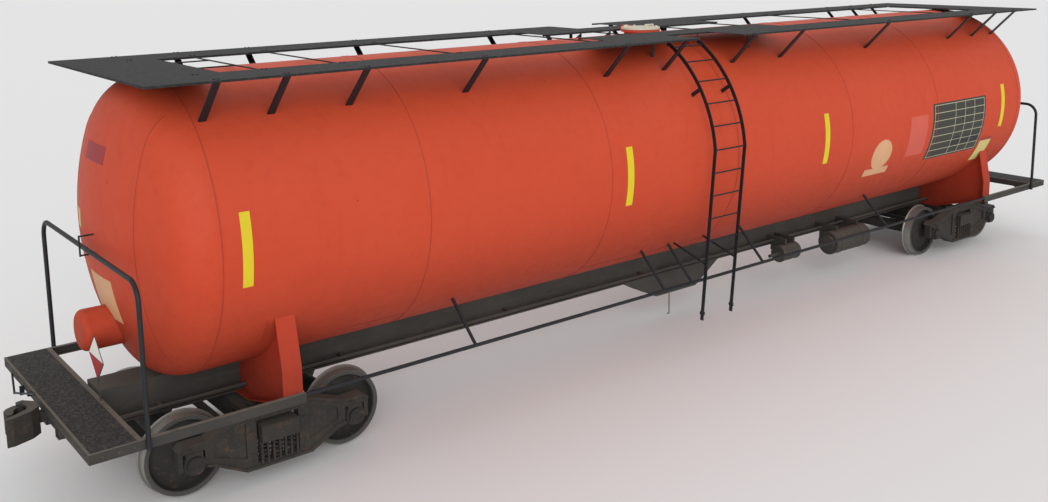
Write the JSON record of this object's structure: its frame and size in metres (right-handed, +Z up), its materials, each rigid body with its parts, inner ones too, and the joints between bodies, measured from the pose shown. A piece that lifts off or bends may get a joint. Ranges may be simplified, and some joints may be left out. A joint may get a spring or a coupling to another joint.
{
  "type": "railway tank car",
  "caption": "Railway tank car: long dished-end tank on a centre sill, swivelling four-wheel trucks, walkway ring, side ladders, end platforms, handrails and swinging couplers.",
  "frame": {"origin": "middle of the car, at the lowest point of the wheel flanges", "axes": "+X along the car towards its B end, +Y across it, +Z up"},
  "size_m": [17.892, 3.5122, 4.3348],
  "materials": {
    "tank_paint": "semi-matt orange-red",
    "pale_paint": "pale cream",
    "frame_paint": "worn grimy black",
    "tread_plate": "textured black tread plate",
    "rail_paint": "satin black",
    "sign_paint": "satin sign board",
    "cast_steel": "rough casting",
    "truck_iron": "rough casting with road dirt",
    "wheel_steel": "worn rolling steel"
  },
  "bodies": {
    "car": {"tank_shell": "tank_paint", "tank_heads": "tank_paint", "end_vessel": "tank_paint", "manway_neck": "tank_paint", "centre_sill": "frame_paint", "body_bolsters": "tank_paint", "platform_frames": "frame_paint", "decks": "tread_plate", "handrails": "rail_paint", "placard_posts": "sign_paint", "head_grab_iron": "rail_paint", "uncoupling_levers": "rail_paint", "side_walkways": "tread_plate", "walkway_ends": "tread_plate", "walkway_rods": "rail_paint", "walkway_brackets": "rail_paint", "ladder_near": "rail_paint", "ladder_far": "rail_paint", "ladder_braces": "rail_paint", "side_rails": "rail_paint", "train_pipe": "frame_paint", "bottom_outlet": "tank_paint", "outlet_skid": "frame_paint", "brake_gear": "frame_paint"},
    "manway_cover": {"manway_lid": "pale_paint"},
    "coupler_a_body": {"coupler_a": "cast_steel"},
    "knuckle_a_body": {"knuckle_a": "cast_steel"},
    "truck_a": {"truck_bolster_a": "truck_iron", "side_frames_a": "truck_iron", "springs_a": "truck_iron", "bearings_a": "truck_iron", "brake_beams_a": "truck_iron"},
    "wheels_a1": {"wheelset_a1": "wheel_steel"},
    "wheels_a2": {"wheelset_a2": "wheel_steel"},
    "coupler_b_body": {"coupler_b": "cast_steel"},
    "knuckle_b_body": {"knuckle_b": "cast_steel"},
    "truck_b": {"truck_bolster_b": "truck_iron", "side_frames_b": "truck_iron", "springs_b": "truck_iron", "bearings_b": "truck_iron", "brake_beams_b": "truck_iron"},
    "wheels_b1": {"wheelset_b1": "wheel_steel"},
    "wheels_b2": {"wheelset_b2": "wheel_steel"}
  },
  "joints": [
    {"name": "manway_cover_hinge", "type": "hinge", "parent": "car", "child": "manway_cover", "pos_m": [-0.4, 0.315, 4.273], "axis": [-1, 0, 0], "range_deg": [0, 110]},
    {"name": "coupler_a_swing", "type": "hinge", "parent": "car", "child": "coupler_a_body", "pos_m": [-7.93, 0, 0.901], "axis": [0, 0, 1], "range_deg": [-6, 6]},
    {"name": "knuckle_a_hinge", "type": "hinge", "parent": "coupler_a_body", "child": "knuckle_a_body", "pos_m": [-8.725, 0.112, 0.901], "axis": [0, 0, -1], "range_deg": [0, 45]},
    {"name": "truck_a_swivel", "type": "hinge", "parent": "car", "child": "truck_a", "pos_m": [-6.58, 0, 0.655], "axis": [0, 0, 1], "range_deg": [-8, 8]},
    {"name": "axle_a1_spin", "type": "hinge", "parent": "truck_a", "child": "wheels_a1", "pos_m": [-7.469, 0, 0.444], "axis": [0, 1, 0], "continuous": true},
    {"name": "axle_a2_spin", "type": "hinge", "parent": "truck_a", "child": "wheels_a2", "pos_m": [-5.691, 0, 0.444], "axis": [0, 1, 0], "continuous": true},
    {"name": "coupler_b_swing", "type": "hinge", "parent": "car", "child": "coupler_b_body", "pos_m": [7.93, 0, 0.901], "axis": [0, 0, 1], "range_deg": [-6, 6]},
    {"name": "knuckle_b_hinge", "type": "hinge", "parent": "coupler_b_body", "child": "knuckle_b_body", "pos_m": [8.725, -0.112, 0.901], "axis": [0, 0, -1], "range_deg": [0, 45]},
    {"name": "truck_b_swivel", "type": "hinge", "parent": "car", "child": "truck_b", "pos_m": [6.58, 0, 0.655], "axis": [0, 0, 1], "range_deg": [-8, 8]},
    {"name": "axle_b1_spin", "type": "hinge", "parent": "truck_b", "child": "wheels_b1", "pos_m": [5.691, 0, 0.444], "axis": [0, 1, 0], "continuous": true},
    {"name": "axle_b2_spin", "type": "hinge", "parent": "truck_b", "child": "wheels_b2", "pos_m": [7.469, 0, 0.444], "axis": [0, 1, 0], "continuous": true}
  ]
}
